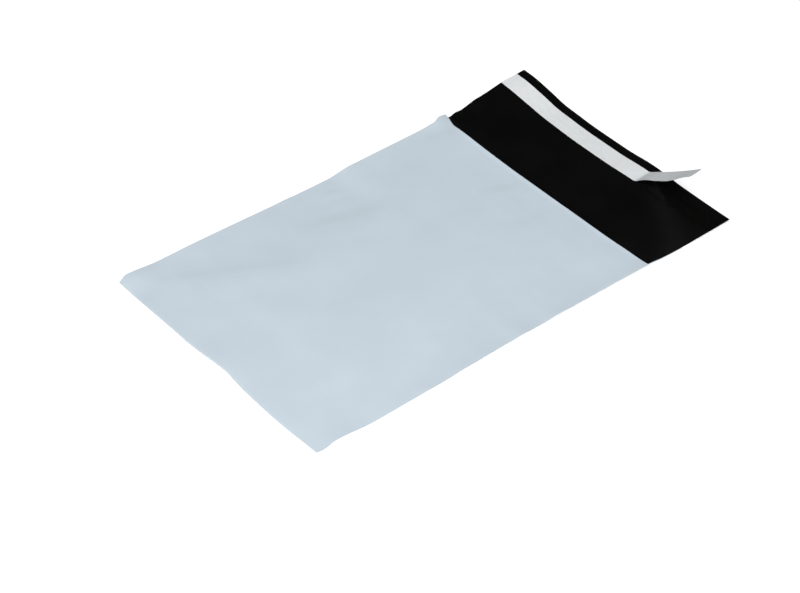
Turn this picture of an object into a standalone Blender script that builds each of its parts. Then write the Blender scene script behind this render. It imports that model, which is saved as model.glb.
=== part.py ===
"""Poly mailer bag, open and empty, lying on its back.

One web of co-extruded polyethylene film is folded at the bottom, so that its front panel lies on its
back panel and the back runs on as a closing flap. Two side welds join the panels into a pocket. The flap
carries a band of hot-melt adhesive under a release liner, whose right end is peeled up as a tab.

Metres, +Z up. +X runs across the bag and +Y from the folded bottom to the flap. The origin is on the
resting plane, at the middle of the bag's plan.
"""

import math

import bmesh
import bpy
from mathutils import Vector

MM = 0.001

# Film web
BAG_WIDTH = 230 * MM
FRONT_LENGTH = 305 * MM
FLAP_LENGTH = 82.5 * MM
FILM_GAUGE = 0.06 * MM

# Side welds: the panels stand this far apart in them, and a bead is left proud of the cut edge
WELD_WIDTH = 3 * MM
WELD_GAP = 0.12 * MM
WELD_BEAD = 0.15 * MM
WELD_SETBACK = 0.4 * MM

# Adhesive band and its release liner, set out from the flap's far edge
FLAP_MARGIN = 7.5 * MM
LINER_WIDTH = 15 * MM
LINER_THICKNESS = 0.06 * MM
LINER_OVERHANG = 1.5 * MM
ADHESIVE_THICKNESS = 0.05 * MM
LAYER_CLEARANCE = 0.3 * MM

# Peeled end of the liner: it rises from the peel line and leans towards the mouth
TAB_LENGTH = 80 * MM
TAB_START_ANGLE = math.radians(31)
TAB_END_ANGLE = math.radians(41)
TAB_BEND_LENGTH = 3 * MM
TAB_LEAN = 10.8 * MM
TAB_CORNER_RADIUS = 5 * MM

# Air between the panels
FOLD_GAP = 0.8 * MM
POCKET_GAP = 4.9 * MM
POCKET_SIDE_SLOPE = 24 * MM
POCKET_END_SLOPE = 75 * MM
POCKET_RIGHT_SHARE = 0.7

# Lie of the film. A station is 0 at the bottom fold, 1 at the mouth and 2 at the flap's far edge.
LEFT_EDGE_LIFT = (
    (0.00, 0.2 * MM),
    (0.30, 0.7 * MM),
    (0.62, 0.2 * MM),
    (0.70, 2.9 * MM),
    (0.88, 3.1 * MM),
    (1.03, 4.8 * MM),
    (1.20, 3.2 * MM),
    (1.45, 6.0 * MM),
    (2.00, 10.1 * MM),
)
LEFT_CURL_REACH = 90 * MM
LEFT_CURL_POWER = 1.6
RIGHT_EDGE_LIFT = (
    (0.00, 0.0),
    (0.06, 2.6 * MM),
    (0.16, 0.0),
    (0.28, 0.5 * MM),
    (0.50, 1.4 * MM),
    (0.66, 1.1 * MM),
    (0.72, 2.5 * MM),
    (0.86, 2.4 * MM),
    (1.00, 2.8 * MM),
    (1.40, 1.4 * MM),
    (2.00, 0.3 * MM),
)
RIGHT_CURL_REACH = 32 * MM
RIGHT_CURL_POWER = 2.0
LEFT_EDGE_INSET = (
    (0.00, 0.2 * MM),
    (0.12, 0.0),
    (0.58, 2.2 * MM),
    (1.00, 2.3 * MM),
    (1.40, 1.6 * MM),
    (2.00, 0.2 * MM),
)
RIGHT_EDGE_INSET = (
    (0.00, 0.3 * MM),
    (0.20, 0.0),
    (0.62, 2.1 * MM),
    (1.00, 0.8 * MM),
    (2.00, 0.4 * MM),
)
FLAP_RISE = 3.7 * MM
FLAP_RISE_START = 0.2
FLAP_RISE_POWER = 1.5
FLAP_RIGHT_SHARE = 0.78
PEEL_LIFT = 1.6 * MM
PEEL_LIFT_REACH = 32 * MM
MOUTH_CORNER_LIFT = 3.0 * MM
MOUTH_CORNER_REACH = 15.5 * MM
BOTTOM_CORNER_LIFT = 2.5 * MM
BOTTOM_CORNER_REACH = 24 * MM
BOTTOM_CORNER_INSET = 7 * MM
DENT_LIFT = 3.6 * MM
DENT_PLACE = 7.5 * MM
DENT_REACH_ACROSS = 37.5 * MM
DENT_REACH_ALONG = 20 * MM

# Mesh divisions
COLUMNS = 22
BODY_ROWS = 20
FLAP_ROWS = 5
FOLD_STEPS = 6
TAB_STEPS = 12
TAB_CORNER_STEPS = 4

HALF_WIDTH = BAG_WIDTH / 2
WEB_LENGTH = FRONT_LENGTH + FLAP_LENGTH
WELD_ZONE = WELD_WIDTH + LAYER_CLEARANCE
LINER_FAR = WEB_LENGTH - FLAP_MARGIN
LINER_NEAR = LINER_FAR - LINER_WIDTH
PEEL_LINE = HALF_WIDTH - TAB_LENGTH
FOLD_RADIUS = (FILM_GAUGE + FOLD_GAP) / 2
PLAN_MIDDLE = (WEB_LENGTH - FOLD_RADIUS - FILM_GAUGE / 2) / 2


def clamp(share):
    return min(max(share, 0.0), 1.0)


def smooth(share):
    """Ease from 0 to 1 as share does."""
    share = clamp(share)
    return share * share * (3 - 2 * share)


def bump(offset, reach):
    """1 in the middle, easing to 0 at reach on either side."""
    return math.cos(clamp(abs(offset) / reach) * math.pi / 2) ** 2


def eased(keys, station):
    """The value at a station, eased between (station, value) keys."""
    for (low, start), (high, end) in zip(keys, keys[1:]):
        if station <= high:
            return start + (end - start) * smooth((station - low) / (high - low))
    return keys[-1][1]


def station_at(along):
    if along <= FRONT_LENGTH:
        return clamp(along / FRONT_LENGTH)
    return 1 + (along - FRONT_LENGTH) / FLAP_LENGTH


def edge_curl(across, station):
    """Lift of the two side edges, which dies out towards the middle of the bag."""
    from_left = HALF_WIDTH + across
    from_right = HALF_WIDTH - across
    left = clamp(1 - from_left / LEFT_CURL_REACH) ** LEFT_CURL_POWER
    right = clamp(1 - from_right / RIGHT_CURL_REACH) ** RIGHT_CURL_POWER
    return eased(LEFT_EDGE_LIFT, station) * left + eased(RIGHT_EDGE_LIFT, station) * right


def flap_lift(across, station):
    """Rise of the flap towards its far edge, with a little more where the liner has been pulled."""
    share = clamp((station - 1 - FLAP_RISE_START) / (1 - FLAP_RISE_START)) ** FLAP_RISE_POWER
    fall = 1 - (1 - FLAP_RIGHT_SHARE) * smooth((across - PEEL_LINE) / (HALF_WIDTH - PEEL_LINE))
    return share * (FLAP_RISE * fall + PEEL_LIFT * bump(across - PEEL_LINE, PEEL_LIFT_REACH))


def local_lift(across, along):
    """Turned-up corners at the mouth and the bottom, and the dent in the bottom fold."""
    from_left = HALF_WIDTH + across
    mouth = MOUTH_CORNER_LIFT * bump(math.hypot(from_left, along - FRONT_LENGTH), MOUTH_CORNER_REACH)
    corner = BOTTOM_CORNER_LIFT * bump(math.hypot(from_left, along - BOTTOM_CORNER_INSET), BOTTOM_CORNER_REACH)
    dent = DENT_LIFT * bump(across - DENT_PLACE, DENT_REACH_ACROSS) * bump(along, DENT_REACH_ALONG)
    return mouth + corner + dent


def lie(across, along):
    """Height of the back film's underside over the resting plane."""
    station = station_at(along)
    return edge_curl(across, station) + flap_lift(across, station) + local_lift(across, along)


def air_gap(across, along):
    """Clear height between the panels: that of the welds at the sides, more in the pocket."""
    from_left = HALF_WIDTH - WELD_ZONE + across
    from_right = HALF_WIDTH - WELD_ZONE - across
    inside = smooth(min(from_left, from_right) / POCKET_SIDE_SLOPE)
    lean = 1 - (1 - POCKET_RIGHT_SHARE) * smooth(across / HALF_WIDTH)
    puff = (POCKET_GAP - FOLD_GAP) * lean * smooth(along / POCKET_END_SLOPE)
    return WELD_GAP + inside * (FOLD_GAP - WELD_GAP + puff)


def plan_point(across, along, height):
    """A place on the web, set out in plan with the drawn-in side edges."""
    keys = LEFT_EDGE_INSET if across < 0 else RIGHT_EDGE_INSET
    squeeze = 1 - eased(keys, station_at(along)) / HALF_WIDTH
    return Vector((across * squeeze, along - PLAN_MIDDLE, height))


def back_point(across, along):
    """Mid-thickness of the back film."""
    return plan_point(across, along, lie(across, along) + FILM_GAUGE / 2)


def front_point(across, along):
    """Mid-thickness of the front film, over the back film and the air between them."""
    return back_point(across, along) + Vector((0, 0, FILM_GAUGE + air_gap(across, along)))


def fold_point(across, turn):
    """Mid-thickness of the bottom fold, turned from the back film at 0 to the front film at pi."""
    radius = (FILM_GAUGE + air_gap(across, 0)) / 2
    back = back_point(across, 0)
    return back + Vector((0, -radius * math.sin(turn), radius * (1 - math.cos(turn))))


def spaced(start, end, steps):
    """Evenly spaced values from start up to, and without, end."""
    return [start + (end - start) * step / steps for step in range(steps)]


def columns_across():
    """Places across the web, with a column at the inner side of each weld."""
    inner = HALF_WIDTH - WELD_ZONE
    return [-HALF_WIDTH, *spaced(-inner, inner, COLUMNS), inner, HALF_WIDTH]


def body_rows():
    """Places along a panel, closer together near the bottom fold."""
    return [FRONT_LENGTH * share ** 1.25 for share in spaced(0, 1, BODY_ROWS)] + [FRONT_LENGTH]


def liner_rows():
    """Places along the flap under the liner: its edges, and the adhesive's edges and middle."""
    middle = (LINER_NEAR + LINER_FAR) / 2
    return [LINER_NEAR, LINER_NEAR + LINER_OVERHANG, middle, LINER_FAR - LINER_OVERHANG, LINER_FAR]


def new_collection(name):
    collection = bpy.data.collections.new(name)
    bpy.context.scene.collection.children.link(collection)
    return collection


def make_material(name, colour, roughness, metallic=0.0):
    material = bpy.data.materials.new(name)
    material.use_nodes = True
    shader = material.node_tree.nodes["Principled BSDF"]
    shader.inputs["Base Color"].default_value = (*colour, 1)
    shader.inputs["Roughness"].default_value = roughness
    shader.inputs["Metallic"].default_value = metallic
    return material


def sheet_object(name, collection, columns, rows, point_at, thickness):
    """A sheet made from a grid, laid by point_at(column, row) and given its thickness about that surface."""
    mesh = bpy.data.meshes.new(name)
    sheet = bmesh.new()
    bmesh.ops.create_grid(sheet, x_segments=len(columns) - 1, y_segments=len(rows) - 1, size=1)
    for vertex in sheet.verts:
        column = round((vertex.co.x + 1) / 2 * (len(columns) - 1))
        row = round((vertex.co.y + 1) / 2 * (len(rows) - 1))
        vertex.co = point_at(columns[column], rows[row])
    sheet.to_mesh(mesh)
    sheet.free()
    part = bpy.data.objects.new(name, mesh)
    collection.objects.link(part)
    solidify = part.modifiers.new("Thickness", "SOLIDIFY")
    solidify.thickness = thickness
    solidify.offset = 0
    solidify.use_even_offset = True
    solidify.use_quality_normals = True
    part.modifiers.new("Flat facets", "TRIANGULATE")
    return part


def web_point(across, run):
    """A place on the folded web, where run is (panel, place along it)."""
    panel, place = run
    return {"back": back_point, "fold": fold_point, "front": front_point}[panel](across, place)


def make_weld(side, collection):
    """The melted strip between the panels along one side edge, from the bottom fold to the mouth."""
    fold_radius = (FILM_GAUGE + WELD_GAP) / 2

    def weld_point(across, along):
        middle = Vector((0, 0, (FILM_GAUGE + WELD_GAP) / 2))
        return back_point(side * across, along) + middle

    rows = [-0.8 * fold_radius, *body_rows()[1:-1], FRONT_LENGTH - WELD_SETBACK]
    columns = [HALF_WIDTH - WELD_WIDTH, HALF_WIDTH, HALF_WIDTH + WELD_BEAD]
    name = "weld_left" if side < 0 else "weld_right"
    weld = sheet_object(name, collection, columns, rows, weld_point, WELD_GAP + 0.7 * FILM_GAUGE)
    weld.hide_render = True
    weld.display_type = "WIRE"
    return weld


def make_bag_film(collection, cutters):
    """The folded web with its two side welds, pale outside and black inside."""
    flap = [*spaced(FRONT_LENGTH, LINER_NEAR, FLAP_ROWS)[1:], *liner_rows(), WEB_LENGTH]
    turns = spaced(0, math.pi, FOLD_STEPS)[1:]
    rows = [("back", along) for along in reversed(body_rows() + flap)]
    rows += [("fold", turn) for turn in turns]
    rows += [("front", along) for along in body_rows()]
    film = sheet_object("bag_film", collection, columns_across(), rows, web_point, FILM_GAUGE)
    film.data.materials.append(make_material("film_outside", (0.56, 0.64, 0.69), 0.4))
    film.data.materials.append(make_material("film_inside", (0.004, 0.004, 0.004), 0.4))
    film.modifiers["Thickness"].material_offset = 1
    for side in (-1, 1):
        union = film.modifiers.new("Side weld", "BOOLEAN")
        union.operation = "UNION"
        union.solver = "EXACT"
        union.object = make_weld(side, cutters)
    return film


def layer_height(thickness_below, thickness):
    """Mid-thickness of a layer over the flap's inner face, clear of the film and what is below it."""
    return FILM_GAUGE / 2 + LAYER_CLEARANCE + thickness_below + thickness / 2


def make_adhesive_strip(collection):
    """The hot-melt band along the flap, a little narrower than the liner that covers it."""
    lift = layer_height(0, ADHESIVE_THICKNESS)

    def band_point(across, along):
        return back_point(across, along) + Vector((0, 0, lift))

    strip = sheet_object(
        "adhesive_strip", collection, columns_across(), liner_rows()[1:-1], band_point, ADHESIVE_THICKNESS
    )
    strip.data.materials.append(make_material("hot_melt", (0.05, 0.05, 0.045), 0.15))
    return strip


def tab_angle(run):
    """Slope of the peeled end at a distance from the peel line."""
    bend = smooth(run / TAB_BEND_LENGTH)
    return bend * (TAB_START_ANGLE + (TAB_END_ANGLE - TAB_START_ANGLE) * run / TAB_LENGTH)


def tab_reach(run):
    """How far along X and up Z the peeled end has gone at a distance from the peel line."""
    steps = 60
    angles = [tab_angle(run * (step + 0.5) / steps) for step in range(steps)]
    return run / steps * sum(map(math.cos, angles)), run / steps * sum(map(math.sin, angles))


def tab_corner(run):
    """How much the rounded corner takes off the tab's near edge at a distance from the peel line."""
    past = run - (TAB_LENGTH - TAB_CORNER_RADIUS)
    if past <= 0:
        return 0.0
    return TAB_CORNER_RADIUS - math.sqrt(max(TAB_CORNER_RADIUS**2 - past**2, 0))


def make_release_liner(collection):
    """The liner on the adhesive, with its right end peeled up past the peel line."""
    below = LAYER_CLEARANCE + ADHESIVE_THICKNESS
    lift = layer_height(below, LINER_THICKNESS)

    def laid_point(across, along):
        return back_point(across, along) + Vector((0, 0, lift))

    def liner_point(across, along):
        run = across - PEEL_LINE
        if run <= 0:
            return laid_point(across, along)
        share = run / TAB_LENGTH
        reach, rise = tab_reach(run)
        cut = tab_corner(run)
        width_share = (along - LINER_NEAR) / LINER_WIDTH
        along = LINER_NEAR + cut + (LINER_WIDTH - cut) * width_share
        shift = Vector((reach, -TAB_LEAN * share**1.5, rise))
        return laid_point(PEEL_LINE, along) + shift

    laid = [across for across in columns_across() if across < PEEL_LINE - TAB_BEND_LENGTH]
    bend = [PEEL_LINE + run for run in spaced(0, TAB_BEND_LENGTH, 3)]
    corner_start = PEEL_LINE + TAB_LENGTH - TAB_CORNER_RADIUS
    free = spaced(PEEL_LINE + TAB_BEND_LENGTH, corner_start, TAB_STEPS)
    corner_turns = spaced(0, math.pi / 2, TAB_CORNER_STEPS) + [math.pi / 2]
    corner = [corner_start + TAB_CORNER_RADIUS * math.sin(turn) for turn in corner_turns]
    liner = sheet_object(
        "release_liner", collection, laid + bend + free + corner, liner_rows(), liner_point, LINER_THICKNESS
    )
    liner.data.materials.append(make_material("liner_paper", (0.66, 0.70, 0.72), 0.45))
    return liner


def clear_scene():
    for item in list(bpy.data.objects):
        bpy.data.objects.remove(item, do_unlink=True)


def main():
    clear_scene()
    bag = new_collection("poly_mailer_bag")
    cutters = new_collection("cutters")
    make_bag_film(bag, cutters)
    make_adhesive_strip(bag)
    make_release_liner(bag)


main()
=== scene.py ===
"""Poly mailer bag, lying open and empty on a pale studio floor.

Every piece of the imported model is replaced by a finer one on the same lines: the folded film web with
the soft creases of handling, its two side welds, the hot-melt band, and the release liner with its
peeled end. Film and liner are laid by code, row by row, and not by a cloth simulation.
"""

import math

import bmesh
import bpy
from mathutils import Matrix, Vector, noise


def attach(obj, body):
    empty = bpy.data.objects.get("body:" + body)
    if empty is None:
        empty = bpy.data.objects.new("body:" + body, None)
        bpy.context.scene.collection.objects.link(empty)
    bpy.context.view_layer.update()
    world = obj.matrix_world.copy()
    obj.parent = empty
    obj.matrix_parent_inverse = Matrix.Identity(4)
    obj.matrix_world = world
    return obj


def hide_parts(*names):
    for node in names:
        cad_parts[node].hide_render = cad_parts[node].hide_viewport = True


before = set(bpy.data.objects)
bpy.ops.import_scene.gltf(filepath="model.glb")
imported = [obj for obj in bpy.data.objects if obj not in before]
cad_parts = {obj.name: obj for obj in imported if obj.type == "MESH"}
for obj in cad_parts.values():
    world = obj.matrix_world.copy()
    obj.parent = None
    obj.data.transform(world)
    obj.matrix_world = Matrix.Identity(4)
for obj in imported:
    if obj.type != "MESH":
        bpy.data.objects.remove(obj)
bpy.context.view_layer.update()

MM = 0.001

# Film web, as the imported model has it
BAG_WIDTH = 230 * MM
FRONT_LENGTH = 305 * MM
FLAP_LENGTH = 82.5 * MM
FILM_GAUGE = 0.06 * MM
WELD_WIDTH = 3 * MM
WELD_GAP = 0.12 * MM
WELD_BEAD = 0.15 * MM
WELD_SETBACK = 0.4 * MM
WELD_ZONE_MARGIN = 0.3 * MM
# A weld bites into the two panels by this share of one film's thickness in all, and reaches this share
# of its own gap into the turn of the bottom fold
WELD_BITE = 0.7
WELD_TUCK = 0.8

# Adhesive band and its liner, set out from the flap's far edge
FLAP_MARGIN = 7.5 * MM
LINER_WIDTH = 15 * MM
LINER_THICKNESS = 0.06 * MM
LINER_OVERHANG = 1.5 * MM
ADHESIVE_THICKNESS = 0.05 * MM
LAYER_CLEARANCE = 0.06 * MM

# Peeled end of the liner: it rises from the peel line and leans towards the mouth
TAB_LENGTH = 80 * MM
TAB_START_ANGLE = math.radians(32.2)
TAB_END_ANGLE = math.radians(40.6)
TAB_BEND_LENGTH = 5 * MM
TAB_LEAN = 11.2 * MM
TAB_LEAN_POWER = 1.5
TAB_CORNER_RADIUS = 3 * MM
TAB_TWIST = 0.37 * MM
# How much longer its near edge is, as the end is cut at a slant
TAB_SLANT = 4 * MM
# Ripples of its near edge, in mm: distance from the peel line, height, reach
TAB_RIPPLES = ((14, 1.36, 16), (46, -0.83, 20), (68, 0.5, 12))

# Air between the panels, which narrows over the last share of the way to the mouth
FOLD_GAP = 0.8 * MM
POCKET_GAP = 1.8 * MM
MOUTH_GAP = 1.1 * MM
POCKET_SIDE_SLOPE = 70 * MM
POCKET_MOUTH_SLOPE = 26 * MM
POCKET_END_SLOPE = 90 * MM
POCKET_RIGHT_SHARE = 0.7
POCKET_NARROWING_START = 0.7
POCKET_NARROWING_SPAN = 0.3

# Lie of the film, as (station, value) tables. A station is 0 at the bottom fold, 1 at the mouth and 2
# at the flap's far edge.
LEFT_EDGE_LIFT = (
    (0.00, 0.0),
    (0.30, 0.7 * MM),
    (0.62, 0.2 * MM),
    (0.70, 2.9 * MM),
    (0.88, 3.1 * MM),
    (1.00, 3.9 * MM),
    (1.20, 3.3 * MM),
    (1.43, 6.2 * MM),
    (2.00, 10.1 * MM),
)
LEFT_CURL_REACH = 90 * MM
LEFT_CURL_POWER = 1.6
RIGHT_EDGE_LIFT = (
    (0.00, 0.0),
    (0.06, 0.7 * MM),
    (0.16, 0.0),
    (0.28, 0.3 * MM),
    (0.50, 1.3 * MM),
    (0.66, 1.0 * MM),
    (0.72, 2.1 * MM),
    (0.86, 2.3 * MM),
    (1.00, 2.8 * MM),
    (1.40, 1.4 * MM),
    (2.00, 0.3 * MM),
)
RIGHT_CURL_REACH = 45 * MM
RIGHT_CURL_POWER = 1.7
LEFT_EDGE_INSET = (
    (0.00, 3.1 * MM),
    (0.025, 0.0),
    (0.12, 0.0),
    (0.58, 2.2 * MM),
    (1.00, 2.3 * MM),
    (1.40, 1.6 * MM),
    (1.72, 0.9 * MM),
    (1.92, 2.3 * MM),
    (2.00, 2.5 * MM),
)
RIGHT_EDGE_INSET = (
    (0.00, 1.0 * MM),
    (0.015, 0.1 * MM),
    (0.06, 1.75 * MM),
    (0.16, 0.0),
    (0.30, 0.4 * MM),
    (0.62, 2.4 * MM),
    (0.85, 1.8 * MM),
    (1.00, 1.2 * MM),
    (1.15, 0.4 * MM),
    (2.00, 0.3 * MM),
)
FLAP_RISE = 3.7 * MM
FLAP_RISE_START = 0.2
FLAP_RISE_POWER = 1.5
FLAP_RIGHT_SHARE = 0.78
PEEL_LIFT = 1.6 * MM
PEEL_LIFT_REACH = 32 * MM
BOTTOM_CORNER_LIFT = 2.3 * MM
BOTTOM_CORNER_REACH = 27 * MM
BOTTOM_CORNER_INSET = 10 * MM
DENT_LIFT = 1.0 * MM
DENT_PUSH = 2.0 * MM
DENT_PLACE = 7.5 * MM
DENT_REACH_LEFT = 44 * MM
DENT_REACH_RIGHT = 30 * MM
DENT_REACH_ALONG = 46 * MM

# Dog-ear at the left end of the mouth, where the front panel comes free of the weld
EAR_LIFT = 1.0 * MM
EAR_PLACE = 299 * MM
EAR_REACH = 8 * MM
EAR_LEAN = 4.1 * MM
EAR_LEAN_START = 287 * MM
EAR_SPREAD = 2.8 * MM
EAR_SPREAD_START = 293.5 * MM
EAR_SPREAD_END = 300 * MM
EAR_WIDTH = 14 * MM
EAR_WELD_SETBACK = 12 * MM

# Soft creases of the front panel, in mm: start, end, height, then how far each flank runs out, to the
# left and to the right of a crease that runs towards the mouth
FRONT_CREASES = (
    ((-100, 10), (-38, 124), 0.42, 11, 30),
    ((-76, 126), (-52, 212), 0.62, 15, 26),
    ((-103, 172), (-96, 192), 0.40, 6, 9),
    ((-98, 262), (-99, 312), 0.50, 16, 30),
    ((-27, 262), (-10, 304), 0.35, 8, 16),
    ((24, 250), (32, 310), 0.35, 12, 18),
    ((60, 18), (66, 70), 0.20, 12, 12),
)
CREASE_END_POWER = 0.8
# How far from the welds and from the bottom fold the front panel's relief takes to come up in full
RELIEF_FROM_WELD = 18 * MM
RELIEF_FROM_FOLD = 20 * MM

# Slight unevenness of the flap's far edge and of the bottom fold, in mm: place across and height. The
# reaches are across and along.
FAR_EDGE_WAVES = ((-120, -1.2), (-99, 0.70), (-85, 0.40), (-65, -0.77), (-45, -0.17))
FAR_EDGE_WAVE_REACH = (18 * MM, 40 * MM)
FOLD_WAVES = ((-85, 0.12), (-60, 0.14), (-35, 0.25))
FOLD_WAVE_REACH = (20 * MM, 22 * MM)
# Where the bottom fold bows outwards, in mm: place across, how far, reach across, reach along
FOLD_BOWS = ((75, 1.2, 48, 60), (-15, 0.5, 35, 40), (-115, 0.4, 45, 40))
# Small lifts and dips along the side edges, in mm: place along, height and reach along. All have the
# same reach across.
LEFT_PUCKERS = ((65, 0.10, 16), (150, 0.35, 12), (293, 0.5, 8), (311, -1.3, 6), (317, 0.5, 5))
RIGHT_PUCKERS = ((96, 0.35, 12), (128, 0.45, 14), (186, 0.4, 12))
PUCKER_REACH = 20 * MM
WELD_SHRINK = 0.10 * MM
WELD_SHRINK_WAVE = 9 * MM
WELD_SHRINK_REACH = 14 * MM
LEFT_WELD_SEED = 1
RIGHT_WELD_SEED = 5

# Slow unevenness of the free film, which on the flap is full at its middle station, and the front
# film's lip at the mouth
WAVE_LENGTH = 42 * MM
FRONT_WAVE = 0.22 * MM
FRONT_WAVE_SEED = 7.3
FLAP_WAVE = 0.30 * MM
FLAP_WAVE_SEED = 0.4
FLAP_WAVE_MIDDLE = 1.5
FLAP_WAVE_REACH = 0.5
LIP_LIFT = 0.35 * MM
LIP_REACH = 4 * MM

# Fine relief of the surfaces. The film's heights are in mm, and the other two in metres.
PEEL_HEIGHT = 0.012
CRINKLE_HEIGHT = 0.12
RIB_HEIGHT = 0.04 * MM
FIBRE_HEIGHT = 0.012 * MM
# Share of the cloudy noise in the film's tint, next to that of its gauge bands
CLOUD_SHARE = 0.7

# Studio, in metres, with the power of the lamps in watts
STUDIO_RADIUS = 5.0
STUDIO_WALL_HEIGHT = 1.1
STUDIO_SIDES = 96
STUDIO_PAPER = "#f4f4f4"
FLOOR_GLOW = 0.28
WALL_GLOW = 0.5
# Distances from the bag between which the paper turns plain white
WHITE_START = 0.45
WHITE_END = 1.3
ROOM_LEVEL = 0.03
# Name, place, width of the disk and power
LAMPS = (
    ("key_lamp", (1.87, -1.50, 2.89), 1.9, 140),
    ("fill_lamp", (-0.20, -0.90, 2.80), 1.8, 18.5),
)

# Camera, fitted to the outline of the bag in the photograph: pixels, degrees and metres
FOCAL_PIXELS = 2642.4
PICTURE_WIDTH = 800
CAMERA_ELEVATION = math.radians(40.25)
CAMERA_AZIMUTH = math.radians(49.82)
CAMERA_ROLL = math.radians(0.57)
CAMERA_DISTANCE = 1.8793
CAMERA_TARGET = Vector((0.0256, -0.0476, 0))

# Mesh divisions
COLUMNS = 84
EDGE_BAND = 12 * MM
EDGE_COLUMNS = 9
ROW_PITCH = 2.5 * MM
MOUTH_BAND = 16 * MM
MOUTH_ROWS = 16
LINER_ROWS = 5
FOLD_STEPS = 10
TAB_BEND_STEPS = 6
TAB_STEPS = 48
TAB_CORNER_STEPS = 8
TAB_SUM_STEPS = 60

HALF_WIDTH = BAG_WIDTH / 2
WEB_LENGTH = FRONT_LENGTH + FLAP_LENGTH
WELD_ZONE = WELD_WIDTH + WELD_ZONE_MARGIN
LINER_FAR = WEB_LENGTH - FLAP_MARGIN
LINER_NEAR = LINER_FAR - LINER_WIDTH
PEEL_LINE = HALF_WIDTH - TAB_LENGTH
FOLD_RADIUS = (FILM_GAUGE + FOLD_GAP) / 2
PLAN_MIDDLE = (WEB_LENGTH - FOLD_RADIUS - FILM_GAUGE / 2) / 2
FLAT_WEB = WEB_LENGTH + math.pi * FOLD_RADIUS + FRONT_LENGTH


def clamp(share):
    """The share, held between 0 and 1."""
    return min(max(share, 0.0), 1.0)


def smooth(share):
    """Ease from 0 to 1 as share does."""
    share = clamp(share)
    return share * share * (3 - 2 * share)


def bump(offset, reach):
    """1 in the middle, easing to 0 at reach on either side."""
    return math.cos(clamp(abs(offset) / reach) * math.pi / 2) ** 2


def eased(keys, station):
    """The value at a station, eased between (station, value) keys."""
    for (low, start), (high, end) in zip(keys, keys[1:]):
        if station <= high:
            return start + (end - start) * smooth((station - low) / (high - low))
    return keys[-1][1]


def station_at(along):
    """The station of a place along the web, from 0 at the bottom fold to 2 at the far edge."""
    if along <= FRONT_LENGTH:
        return clamp(along / FRONT_LENGTH)
    return 1 + (along - FRONT_LENGTH) / FLAP_LENGTH


def edge_curl(across, station):
    """Lift of the two side edges, which dies out towards the middle of the bag."""
    from_left = HALF_WIDTH + across
    from_right = HALF_WIDTH - across
    left = clamp(1 - from_left / LEFT_CURL_REACH) ** LEFT_CURL_POWER
    right = clamp(1 - from_right / RIGHT_CURL_REACH) ** RIGHT_CURL_POWER
    return eased(LEFT_EDGE_LIFT, station) * left + eased(RIGHT_EDGE_LIFT, station) * right


def flap_lift(across, station):
    """Rise of the flap towards its far edge, with a little more where the liner has been pulled."""
    share = clamp((station - 1 - FLAP_RISE_START) / (1 - FLAP_RISE_START)) ** FLAP_RISE_POWER
    fall = 1 - (1 - FLAP_RIGHT_SHARE) * smooth((across - PEEL_LINE) / (HALF_WIDTH - PEEL_LINE))
    return share * (FLAP_RISE * fall + PEEL_LIFT * bump(across - PEEL_LINE, PEEL_LIFT_REACH))


def local_lift(across, along):
    """The turned-up corner at the bottom, and the dent in the bottom fold."""
    away = math.hypot(HALF_WIDTH + across, along - BOTTOM_CORNER_INSET)
    corner = BOTTOM_CORNER_LIFT * bump(away, BOTTOM_CORNER_REACH)
    return corner + DENT_LIFT * dent_share(across, along)


def pucker(across, along):
    """Small lifts and dips of the side edges, and the fine waves of a weld that has shrunk."""
    edge = HALF_WIDTH - abs(across)
    places = LEFT_PUCKERS if across < 0 else RIGHT_PUCKERS
    seed = LEFT_WELD_SEED if across < 0 else RIGHT_WELD_SEED
    lift = sum(height * MM * bump(along - place * MM, reach * MM) for place, height, reach in places)
    swell = 1 + noise.noise(Vector((along / WELD_SHRINK_WAVE, seed, 0)))
    fade = smooth((WEB_LENGTH - along) / FLAP_LENGTH)
    shrink = WELD_SHRINK * swell * fade * bump(edge, WELD_SHRINK_REACH)
    return lift * bump(edge, PUCKER_REACH) + shrink


def wave_sum(waves, across, reach):
    """The height of a row of small waves at a place across the bag."""
    return sum(height * MM * bump(across - place * MM, reach) for place, height in waves)


def end_waves(across, along):
    """Slight unevenness of the two ends of the bag's outline, the flap's far edge and the fold."""
    far_reach, far_depth = FAR_EDGE_WAVE_REACH
    fold_reach, fold_depth = FOLD_WAVE_REACH
    far = wave_sum(FAR_EDGE_WAVES, across, far_reach) * bump(WEB_LENGTH - along, far_depth)
    return far + wave_sum(FOLD_WAVES, across, fold_reach) * bump(along, fold_depth)


def lie(across, along):
    """Height of the back film's underside over the resting plane."""
    station = station_at(along)
    lift = edge_curl(across, station) + flap_lift(across, station) + local_lift(across, along)
    lift += pucker(across, along) + end_waves(across, along)
    wave = noise.noise(Vector((across, along, FLAP_WAVE_SEED)) / WAVE_LENGTH)
    return max(lift + FLAP_WAVE * wave * bump(station - FLAP_WAVE_MIDDLE, FLAP_WAVE_REACH), 0)


def crease(across, along, start, end, height, left_reach, right_reach):
    """Height of one soft crease, highest half way along it."""
    start = Vector(start) * MM
    run = Vector(end) * MM - start
    offset = Vector((across, along)) - start
    share = offset.dot(run) / run.length_squared
    if not 0 < share < 1:
        return 0.0
    side = (offset.x * run.y - offset.y * run.x) / run.length
    reach = (right_reach if side > 0 else left_reach) * MM
    return height * MM * math.sin(math.pi * share) ** CREASE_END_POWER * bump(side, reach)


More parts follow.
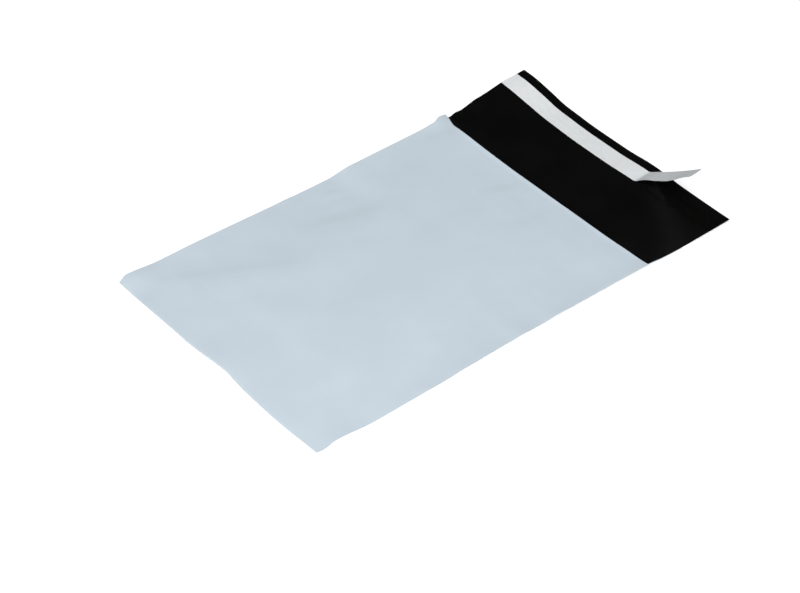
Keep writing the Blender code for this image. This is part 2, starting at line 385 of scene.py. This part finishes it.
def air_gap(across, along):
    """Clear height between the panels: that of the welds at the sides, more in the pocket."""
    from_left = HALF_WIDTH - WELD_ZONE + across
    from_right = HALF_WIDTH - WELD_ZONE - across
    inner = min(from_left, from_right)
    near_mouth = smooth((along / FRONT_LENGTH - POCKET_NARROWING_START) / POCKET_NARROWING_SPAN)
    slope = POCKET_SIDE_SLOPE + (POCKET_MOUTH_SLOPE - POCKET_SIDE_SLOPE) * near_mouth
    inside = smooth(inner / slope)
    lean = 1 - (1 - POCKET_RIGHT_SHARE) * smooth(across / HALF_WIDTH)
    full = POCKET_GAP + (MOUTH_GAP - POCKET_GAP) * near_mouth
    puff = (full - FOLD_GAP) * lean * smooth(along / POCKET_END_SLOPE)
    wave = FRONT_WAVE * noise.noise(Vector((across, along, FRONT_WAVE_SEED)) / WAVE_LENGTH)
    relief = wave + sum(crease(across, along, *line) for line in FRONT_CREASES)
    lip = LIP_LIFT * smooth(1 - (FRONT_LENGTH - along) / LIP_REACH)
    free = smooth(inner / RELIEF_FROM_WELD) * smooth(along / RELIEF_FROM_FOLD)
    return WELD_GAP + inside * (FOLD_GAP - WELD_GAP + puff) + free * (relief + lip)


def dent_share(across, along):
    """1 in the middle of the dent in the bottom fold, easing to 0 round it."""
    reach = DENT_REACH_LEFT if across < DENT_PLACE else DENT_REACH_RIGHT
    return bump(across - DENT_PLACE, reach) * bump(along, DENT_REACH_ALONG)


def fold_shift(across, along):
    """How far the bottom fold lies off a straight line: inwards at the dent, outwards beside it."""
    bow = sum(
        far * MM * bump(across - place * MM, wide * MM) * bump(along, deep * MM)
        for place, far, wide, deep in FOLD_BOWS
    )
    return DENT_PUSH * dent_share(across, along) - bow


def plan_point(across, along, height):
    """A place on the web, set out in plan with the drawn-in side edges."""
    keys = LEFT_EDGE_INSET if across < 0 else RIGHT_EDGE_INSET
    squeeze = 1 - eased(keys, station_at(along)) / HALF_WIDTH
    return Vector((across * squeeze, along + fold_shift(across, along) - PLAN_MIDDLE, height))


def back_point(across, along):
    """Mid-thickness of the back film."""
    return plan_point(across, along, lie(across, along) + FILM_GAUGE / 2)


def ear_offset(across, along):
    """How the front panel's free corner stands up, spreads and leans out over the flap."""
    spread = EAR_SPREAD * smooth((along - EAR_SPREAD_START) / (EAR_SPREAD_END - EAR_SPREAD_START))
    lean = EAR_LEAN * smooth((along - EAR_LEAN_START) / (FRONT_LENGTH - EAR_LEAN_START))
    lift = EAR_LIFT * bump(along - EAR_PLACE, EAR_REACH)
    return bump(HALF_WIDTH + across, EAR_WIDTH) * Vector((-spread, lean, lift))


def front_point(across, along):
    """Mid-thickness of the front film, over the back film and the air between them."""
    over_back = Vector((0, 0, FILM_GAUGE + air_gap(across, along)))
    return back_point(across, along) + over_back + ear_offset(across, along)


def fold_point(across, turn):
    """Mid-thickness of the bottom fold, turned from the back film at 0 to the front film at pi."""
    radius = (FILM_GAUGE + air_gap(across, 0)) / 2
    return back_point(across, 0) + Vector((0, -radius * math.sin(turn), radius * (1 - math.cos(turn))))


def spaced(start, end, steps):
    """Evenly spaced values from start up to, and without, end."""
    return [start + (end - start) * step / steps for step in range(steps)]


def columns_across():
    """Places across the web, with a column at the inner side of each weld."""
    inner = HALF_WIDTH - WELD_ZONE
    edge = spaced(inner - EDGE_BAND, inner, EDGE_COLUMNS)[1:]
    middle = spaced(EDGE_BAND - inner, inner - EDGE_BAND, COLUMNS) + [inner - EDGE_BAND]
    left_edge = [-place for place in reversed(edge)]
    return [-HALF_WIDTH, -inner, *left_edge, *middle, *edge, inner, HALF_WIDTH]


def panel_rows():
    """Places along a panel, closer together at the mouth, where the lip turns up."""
    body_end = FRONT_LENGTH - MOUTH_BAND
    body = spaced(0, body_end, round(body_end / ROW_PITCH))
    return body + spaced(body_end, FRONT_LENGTH, MOUTH_ROWS) + [FRONT_LENGTH]


def liner_rows():
    """Places along the flap under the liner, with rows at the adhesive's two edges."""
    inner_near = LINER_NEAR + LINER_OVERHANG
    inner_far = LINER_FAR - LINER_OVERHANG
    return [LINER_NEAR, *spaced(inner_near, inner_far, LINER_ROWS), inner_far, LINER_FAR]


def lay_sheet(name, columns, rows, point_at, pattern_at, thickness):
    """A sheet made from a grid, laid by point_at(column, row) and thickened about that surface."""
    mesh = bpy.data.meshes.new(name)
    sheet = bmesh.new()
    bmesh.ops.create_grid(sheet, x_segments=len(columns) - 1, y_segments=len(rows) - 1, size=1)
    flat = {}
    for vertex in sheet.verts:
        column = columns[round((vertex.co.x + 1) / 2 * (len(columns) - 1))]
        row = rows[round((vertex.co.y + 1) / 2 * (len(rows) - 1))]
        flat[vertex] = pattern_at(column, row)
        vertex.co = point_at(column, row)
    pattern = sheet.loops.layers.uv.new("Flat pattern")
    for face in sheet.faces:
        face.smooth = True
        for loop in face.loops:
            loop[pattern].uv = flat[loop.vert]
    for edge in sheet.edges:
        edge.smooth = not edge.is_boundary
    sheet.to_mesh(mesh)
    sheet.free()
    piece = bpy.data.objects.new(name, mesh)
    bpy.context.scene.collection.objects.link(piece)
    solidify = piece.modifiers.new("Thickness", "SOLIDIFY")
    solidify.thickness = thickness
    solidify.offset = 0
    solidify.use_even_offset = True
    solidify.use_quality_normals = True
    return piece


def web_point(across, run):
    """A place on the folded web, where run is (panel, place along it)."""
    panel, place = run
    return {"back": back_point, "fold": fold_point, "front": front_point}[panel](across, place)


def web_pattern(across, run):
    """The same place on the flat web, as shares of its width and length from the flap's far edge."""
    panel, place = run
    distance = {
        "back": WEB_LENGTH - place,
        "fold": WEB_LENGTH + FOLD_RADIUS * place,
        "front": WEB_LENGTH + math.pi * FOLD_RADIUS + place,
    }[panel]
    return (across + HALF_WIDTH) / BAG_WIDTH, distance / FLAT_WEB


def make_film_web():
    """The folded web: rows run from the flap's far edge down the back, round the fold, up the front."""
    flap = spaced(FRONT_LENGTH, LINER_NEAR, round((LINER_NEAR - FRONT_LENGTH) / ROW_PITCH))
    flap = [*flap[1:], *liner_rows(), WEB_LENGTH - FLAP_MARGIN / 2, WEB_LENGTH]
    rows = [("back", along) for along in reversed(panel_rows() + flap)]
    rows += [("fold", turn) for turn in spaced(0, math.pi, FOLD_STEPS)[1:]]
    rows += [("front", along) for along in panel_rows()]
    web = lay_sheet("film_web", columns_across(), rows, web_point, web_pattern, FILM_GAUGE)
    web.modifiers["Thickness"].material_offset = 1
    return web


def make_side_weld(side, name, setback):
    """The strip melted between the panels along one side edge, with its bead proud of the cut."""
    end = FRONT_LENGTH - setback
    between = [along for along in panel_rows()[1:] if along < end - ROW_PITCH / 2]
    rows = [-WELD_TUCK * WELD_GAP, *between, end]
    columns = [HALF_WIDTH - WELD_WIDTH, HALF_WIDTH - WELD_WIDTH / 2, HALF_WIDTH, HALF_WIDTH + WELD_BEAD]

    def weld_point(across, along):
        return back_point(side * across, along) + Vector((0, 0, (FILM_GAUGE + WELD_GAP) / 2))

    def weld_pattern(across, along):
        return (across - columns[0]) / FRONT_LENGTH, along / FRONT_LENGTH

    weld = lay_sheet(name, columns, rows, weld_point, weld_pattern, WELD_GAP + WELD_BITE * FILM_GAUGE)
    if side < 0:
        weld.data.flip_normals()
    return weld


def layer_height(thickness_below, thickness):
    """Mid-thickness of a layer over the flap's inner face, just clear of what is below it."""
    return FILM_GAUGE / 2 + LAYER_CLEARANCE + thickness_below + thickness / 2


def flap_pattern(across, along):
    """A place on the flap's layers, as shares of the bag's width from one corner."""
    return (across + HALF_WIDTH) / BAG_WIDTH, (along - LINER_NEAR) / BAG_WIDTH


def make_hot_melt_band():
    """The adhesive along the flap, a little narrower than the liner that covers it."""
    lift = layer_height(0, ADHESIVE_THICKNESS)

    def band_point(across, along):
        return back_point(across, along) + Vector((0, 0, lift))

    columns = columns_across()
    rows = liner_rows()[1:-1]
    return lay_sheet("hot_melt_band", columns, rows, band_point, flap_pattern, ADHESIVE_THICKNESS)


def tab_angle(run):
    """Slope of the peeled end at a distance from the peel line."""
    bend = smooth(run / TAB_BEND_LENGTH)
    return bend * (TAB_START_ANGLE + (TAB_END_ANGLE - TAB_START_ANGLE) * run / TAB_LENGTH)


def tab_reach(run):
    """How far along X and up Z the peeled end has gone at a distance from the peel line."""
    angles = [tab_angle(run * (step + 0.5) / TAB_SUM_STEPS) for step in range(TAB_SUM_STEPS)]
    stride = run / TAB_SUM_STEPS
    return stride * sum(map(math.cos, angles)), stride * sum(map(math.sin, angles))


def tab_corner(run):
    """How much the rounded corner takes off the tab's near edge at a distance from the peel line."""
    past = run - (TAB_LENGTH - TAB_CORNER_RADIUS)
    if past <= 0:
        return 0.0
    return TAB_CORNER_RADIUS - math.sqrt(max(TAB_CORNER_RADIUS**2 - past**2, 0))


def make_release_liner():
    """The liner on the adhesive, with its right end peeled up past the peel line."""
    lift = layer_height(LAYER_CLEARANCE + ADHESIVE_THICKNESS, LINER_THICKNESS)

    def laid_point(across, along):
        return back_point(across, along) + Vector((0, 0, lift))

    def liner_point(across, along):
        run = across - PEEL_LINE
        if run <= 0:
            return laid_point(across, along)
        share = run / TAB_LENGTH
        cut = tab_corner(run)
        width_share = (along - LINER_NEAR) / LINER_WIDTH
        reach, rise = tab_reach(run + TAB_SLANT * share * (1 - width_share))
        along = LINER_NEAR + cut + (LINER_WIDTH - cut) * width_share
        twist = TAB_TWIST * share * (1 - 2 * width_share)
        ripple = sum(high * MM * bump(run - place * MM, wide * MM) for place, high, wide in TAB_RIPPLES)
        height = rise + twist + ripple * (1 - width_share)
        lean = TAB_LEAN * share**TAB_LEAN_POWER
        return laid_point(PEEL_LINE, along) + Vector((reach, -lean, height))

    laid = [across for across in columns_across() if across < PEEL_LINE - TAB_BEND_LENGTH]
    bend = [PEEL_LINE + run for run in spaced(0, TAB_BEND_LENGTH, TAB_BEND_STEPS)]
    corner_start = PEEL_LINE + TAB_LENGTH - TAB_CORNER_RADIUS
    free = spaced(PEEL_LINE + TAB_BEND_LENGTH, corner_start, TAB_STEPS)
    corner_turns = spaced(0, math.pi / 2, TAB_CORNER_STEPS) + [math.pi / 2]
    corner = [corner_start + TAB_CORNER_RADIUS * math.sin(turn) for turn in corner_turns]
    columns = laid + bend + free + corner
    liner = lay_sheet("liner_strip", columns, liner_rows(), liner_point, flap_pattern, LINER_THICKNESS)
    liner.modifiers["Thickness"].material_offset = 1
    return liner


def linear(hex_colour):
    """An sRGB hex colour as the linear colour that a shader takes."""
    shares = [int(hex_colour[place : place + 2], 16) / 255 for place in (1, 3, 5)]
    levels = [s / 12.92 if s <= 0.04045 else ((s + 0.055) / 1.055) ** 2.4 for s in shares]
    return (*levels, 1)


def add_node(material, kind, links=None, values=None, **settings):
    """Adds a shader node; links gives (node, output) and values a constant, both by input."""
    node = material.node_tree.nodes.new(kind)
    for name, value in settings.items():
        setattr(node, name, value)
    for name, value in (values or {}).items():
        node.inputs[name].default_value = value
    for name, (source, output) in (links or {}).items():
        material.node_tree.links.new(source.outputs[output], node.inputs[name])
    return node


def new_material(name):
    """A material with an empty node tree."""
    material = bpy.data.materials.new(name)
    material.use_nodes = True
    material.node_tree.nodes.clear()
    return material


def finish_material(material, shader):
    """Joins the shader to the material's output."""
    add_node(material, "ShaderNodeOutputMaterial", {"Surface": (shader, 0)})
    return material


def pattern_metres(material, width, length):
    """The piece's flat pattern, brought from shares to metres."""
    place = add_node(material, "ShaderNodeUVMap", uv_map="Flat pattern")
    return add_node(
        material, "ShaderNodeMapping", {"Vector": (place, "UV")}, {"Scale": (width, length, 1)}
    )


def noise_node(material, place, **values):
    """A noise texture over a mapped place."""
    return add_node(material, "ShaderNodeTexNoise", {"Vector": (place, 0)}, values)


def stretched(material, place, across, along):
    """A place in metres, scaled to so many cells a metre across and along the pattern."""
    return add_node(material, "ShaderNodeMapping", {"Vector": (place, 0)}, {"Scale": (across, along, 1)})


def relief_node(material, height, distance):
    """A bump of the surface, where a height of 1 stands for the distance in metres."""
    values = {"Strength": 1.0, "Distance": distance}
    return add_node(material, "ShaderNodeBump", {"Height": (height, 0)}, values)


def ranged(material, value, low, high, to_low=0, to_high=1):
    """A value brought from the range of low to high to another range."""
    values = {"From Min": low, "From Max": high, "To Min": to_low, "To Max": to_high}
    return add_node(material, "ShaderNodeMapRange", {"Value": (value, 0)}, values)


def tint_between(material, share, deep, pale):
    """A colour between two hex colours, by a share."""
    return add_node(
        material, "ShaderNodeMix", {0: (share, 0)}, {6: linear(deep), 7: linear(pale)}, data_type="RGBA"
    )


def film_material(name, pale, deep, roughness, specular, line_height):
    """Blown, co-extruded low-density polyethylene. Its draw runs across the bag, parallel to the fold.

    To the eye: a satin skin with faint gauge bands and die lines along the draw, a slight orange peel
    from the cooling air, and small soft wrinkles from handling.
    """
    film = new_material(name)
    metres = pattern_metres(film, BAG_WIDTH, FLAT_WEB)
    # Gauge bands about 18 mm wide, drawn out across the bag
    bands = noise_node(film, stretched(film, metres, 2, 55), Scale=1, Detail=3, Roughness=0.5)
    clouds = noise_node(film, metres, Scale=28, Detail=3)
    mixed = add_node(film, "ShaderNodeMix", {2: (bands, 0), 3: (clouds, 0)}, {0: CLOUD_SHARE})
    colour = tint_between(film, ranged(film, mixed, 0.35, 0.65), deep, pale)
    # Die lines, 0.3 to 1 mm apart in life, drawn at about 2 mm so that they show
    lines = noise_node(film, stretched(film, metres, 6, 500), Scale=1, Detail=2)
    peel = noise_node(film, metres, Scale=320, Detail=2)
    crinkle = noise_node(film, metres, Scale=75, Detail=3, Distortion=0.6)
    height = add_node(film, "ShaderNodeMath", {0: (lines, 0)}, {1: line_height}, operation="MULTIPLY")
    for texture, factor in ((peel, PEEL_HEIGHT), (crinkle, CRINKLE_HEIGHT)):
        links = {0: (texture, 0), 2: (height, 0)}
        height = add_node(film, "ShaderNodeMath", links, {1: factor}, operation="MULTIPLY_ADD")
    relief = relief_node(film, height, MM)
    gloss = ranged(film, clouds, 0.3, 0.7, roughness - 0.05, roughness + 0.05)
    shader = add_node(
        film,
        "ShaderNodeBsdfPrincipled",
        {"Base Color": (colour, 2), "Roughness": (gloss, 0), "Normal": (relief, 0)},
        {"IOR": 1.51, "Specular IOR Level": specular},
    )
    return finish_material(film, shader)


def hot_melt_material():
    """Slot-coated hot-melt adhesive, clear, so the black film shows through it.

    To the eye: a wet black band with a warm cast and shallow ribs where the die laid it down.
    """
    melt = new_material("clear hot melt over black film")
    metres = pattern_metres(melt, BAG_WIDTH, BAG_WIDTH)
    # Ribs about 1.5 mm apart across the band
    ribs = noise_node(melt, stretched(melt, metres, 10, 650), Scale=1, Detail=1)
    relief = relief_node(melt, ribs, RIB_HEIGHT)
    colour = tint_between(melt, ribs, "#060606", "#0a0a09")
    shader = add_node(
        melt,
        "ShaderNodeBsdfPrincipled",
        {"Base Color": (colour, 2), "Normal": (relief, 0)},
        {"Roughness": 0.16, "IOR": 1.48, "Specular IOR Level": 0.3},
    )
    return finish_material(melt, shader)


def liner_material(name, pale, deep, roughness, specular):
    """Supercalendered glassine, silicone coated on its underside.

    To the eye: a smooth, hard white paper with a faint cloudy formation, drawn along the strip, and a
    low sheen that is stronger on the silicone side.
    """
    liner = new_material(name)
    metres = pattern_metres(liner, BAG_WIDTH, BAG_WIDTH)
    # Formation clouds 6 mm long and 3 mm wide, and fibre 2 mm long and 0.8 mm wide, which is a little
    # coarser than in life so that it shows
    clouds = noise_node(liner, stretched(liner, metres, 170, 330), Scale=1, Detail=3)
    fibre = noise_node(liner, stretched(liner, metres, 500, 1300), Scale=1, Detail=2)
    colour = tint_between(liner, ranged(liner, clouds, 0.3, 0.7), deep, pale)
    relief = relief_node(liner, fibre, FIBRE_HEIGHT)
    gloss = ranged(liner, clouds, 0.3, 0.7, roughness - 0.04, roughness + 0.06)
    shader = add_node(
        liner,
        "ShaderNodeBsdfPrincipled",
        {"Base Color": (colour, 2), "Roughness": (gloss, 0), "Normal": (relief, 0)},
        {"IOR": 1.45, "Specular IOR Level": specular},
    )
    return finish_material(liner, shader)


def studio_material(name, colour, glow):
    """Pale studio paper that keeps the shadows near the bag and grows to plain white for the camera."""
    paper = new_material(name)
    rays = add_node(paper, "ShaderNodeLightPath")
    place = add_node(paper, "ShaderNodeTexCoord")
    distance = add_node(paper, "ShaderNodeVectorMath", {0: (place, "Object")}, operation="LENGTH")
    white = add_node(
        paper,
        "ShaderNodeMapRange",
        {"Value": (distance, "Value")},
        {"From Min": WHITE_START, "From Max": WHITE_END, "To Min": glow, "To Max": 1},
        interpolation_type="SMOOTHSTEP",
    )
    seen = add_node(
        paper, "ShaderNodeMath", {0: (rays, "Is Camera Ray"), 1: (white, 0)}, operation="MULTIPLY"
    )
    mirrored = add_node(
        paper,
        "ShaderNodeMath",
        {0: (rays, "Is Glossy Ray"), 1: (rays, "Is Transmission Ray")},
        operation="MAXIMUM",
    )
    strength = add_node(
        paper, "ShaderNodeMath", {0: (mirrored, 0), 2: (seen, 0)}, {1: glow}, operation="MULTIPLY_ADD"
    )
    diffuse = add_node(paper, "ShaderNodeBsdfDiffuse", values={"Color": linear(colour)})
    lift = add_node(paper, "ShaderNodeEmission", {"Strength": (strength, 0)}, {"Color": (1, 1, 1, 1)})
    shader = add_node(paper, "ShaderNodeAddShader", {0: (diffuse, 0), 1: (lift, 0)})
    return finish_material(paper, shader)


def make_studio():
    """A plain pale floor with a low wall round it, one large soft key lamp and a fill from above."""
    floor_mesh = bpy.data.meshes.new("studio_floor")
    paper = bmesh.new()
    bmesh.ops.create_circle(paper, cap_ends=True, segments=STUDIO_SIDES, radius=STUDIO_RADIUS)
    paper.to_mesh(floor_mesh)
    paper.free()
    floor_mesh.materials.append(studio_material("pale studio paper", STUDIO_PAPER, FLOOR_GLOW))
    wall_mesh = bpy.data.meshes.new("studio_wall")
    paper = bmesh.new()
    bmesh.ops.create_circle(paper, cap_ends=False, segments=STUDIO_SIDES, radius=STUDIO_RADIUS)
    raised = bmesh.ops.extrude_edge_only(paper, edges=paper.edges[:])
    top = [item for item in raised["geom"] if isinstance(item, bmesh.types.BMVert)]
    bmesh.ops.translate(paper, verts=top, vec=(0, 0, STUDIO_WALL_HEIGHT))
    paper.to_mesh(wall_mesh)
    paper.free()
    wall_mesh.materials.append(studio_material("pale studio wall", STUDIO_PAPER, WALL_GLOW))
    for mesh in (floor_mesh, wall_mesh):
        stage = bpy.data.objects.new(mesh.name, mesh)
        bpy.context.scene.collection.objects.link(stage)

    for name, place, size, power in LAMPS:
        lamp = bpy.data.lights.new(name, "AREA")
        lamp.shape = "DISK"
        lamp.size = size
        lamp.energy = power
        holder = bpy.data.objects.new(name, lamp)
        holder.location = place
        holder.rotation_euler = Vector(place).to_track_quat("Z", "Y").to_euler()
        bpy.context.scene.collection.objects.link(holder)

    world = bpy.data.worlds.new("dim studio")
    world.use_nodes = True
    world.node_tree.nodes["Background"].inputs["Color"].default_value = (1, 1, 1, 1)
    world.node_tree.nodes["Background"].inputs["Strength"].default_value = ROOM_LEVEL
    bpy.context.scene.world = world


def make_camera():
    """The photograph's camera, placed by its fitted angles."""
    camera = bpy.data.cameras.new("camera")
    camera.sensor_width = 36
    camera.lens = FOCAL_PIXELS * camera.sensor_width / PICTURE_WIDTH
    camera.clip_start = 0.05
    camera.clip_end = 50
    level = math.cos(CAMERA_ELEVATION)
    back = Vector(
        (math.sin(CAMERA_AZIMUTH) * level, -math.cos(CAMERA_AZIMUTH) * level, math.sin(CAMERA_ELEVATION))
    )
    right = Vector((math.cos(CAMERA_AZIMUTH), math.sin(CAMERA_AZIMUTH), 0))
    above = back.cross(right)
    turn = Matrix((right, above, back)).transposed() @ Matrix.Rotation(CAMERA_ROLL, 3, "Z")
    holder = bpy.data.objects.new("camera", camera)
    holder.matrix_world = Matrix.Translation(CAMERA_TARGET + back * CAMERA_DISTANCE) @ turn.to_4x4()
    bpy.context.scene.collection.objects.link(holder)
    bpy.context.scene.camera = holder


make_camera()
make_studio()

web = make_film_web()
welds = [
    make_side_weld(-1, "side_weld_left", EAR_WELD_SETBACK),
    make_side_weld(1, "side_weld_right", WELD_SETBACK),
]
band = make_hot_melt_band()
liner = make_release_liner()

pale_skin = "co-extruded polyethylene, pale skin"
black_skin = "co-extruded polyethylene, black skin"
pale_film = film_material(pale_skin, "#cddae3", "#cad6e0", 0.42, 0.5, 0.010)
black_film = film_material(black_skin, "#090909", "#070707", 0.34, 0.12, 0.012)
web.data.materials.append(pale_film)
web.data.materials.append(black_film)
for weld in welds:
    weld.data.materials.append(pale_film)
band.data.materials.append(hot_melt_material())
plain_side = liner_material("glassine liner, plain side", "#dfe2e3", "#d8dcdd", 0.9, 0.1)
silicone_side = liner_material("glassine liner, silicone side", "#dde1e3", "#d5dadc", 0.3, 0.2)
liner.data.materials.append(plain_side)
liner.data.materials.append(silicone_side)

for piece, node, finish in (
    (web, "bag_film", "film"),
    (welds[0], "bag_film", "film"),
    (welds[1], "bag_film", "film"),
    (band, "adhesive_strip", "hot_melt"),
    (liner, "release_liner", "liner"),
):
    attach(piece, "root")
    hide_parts(node)

bpy.context.scene.view_settings.view_transform = "Standard"
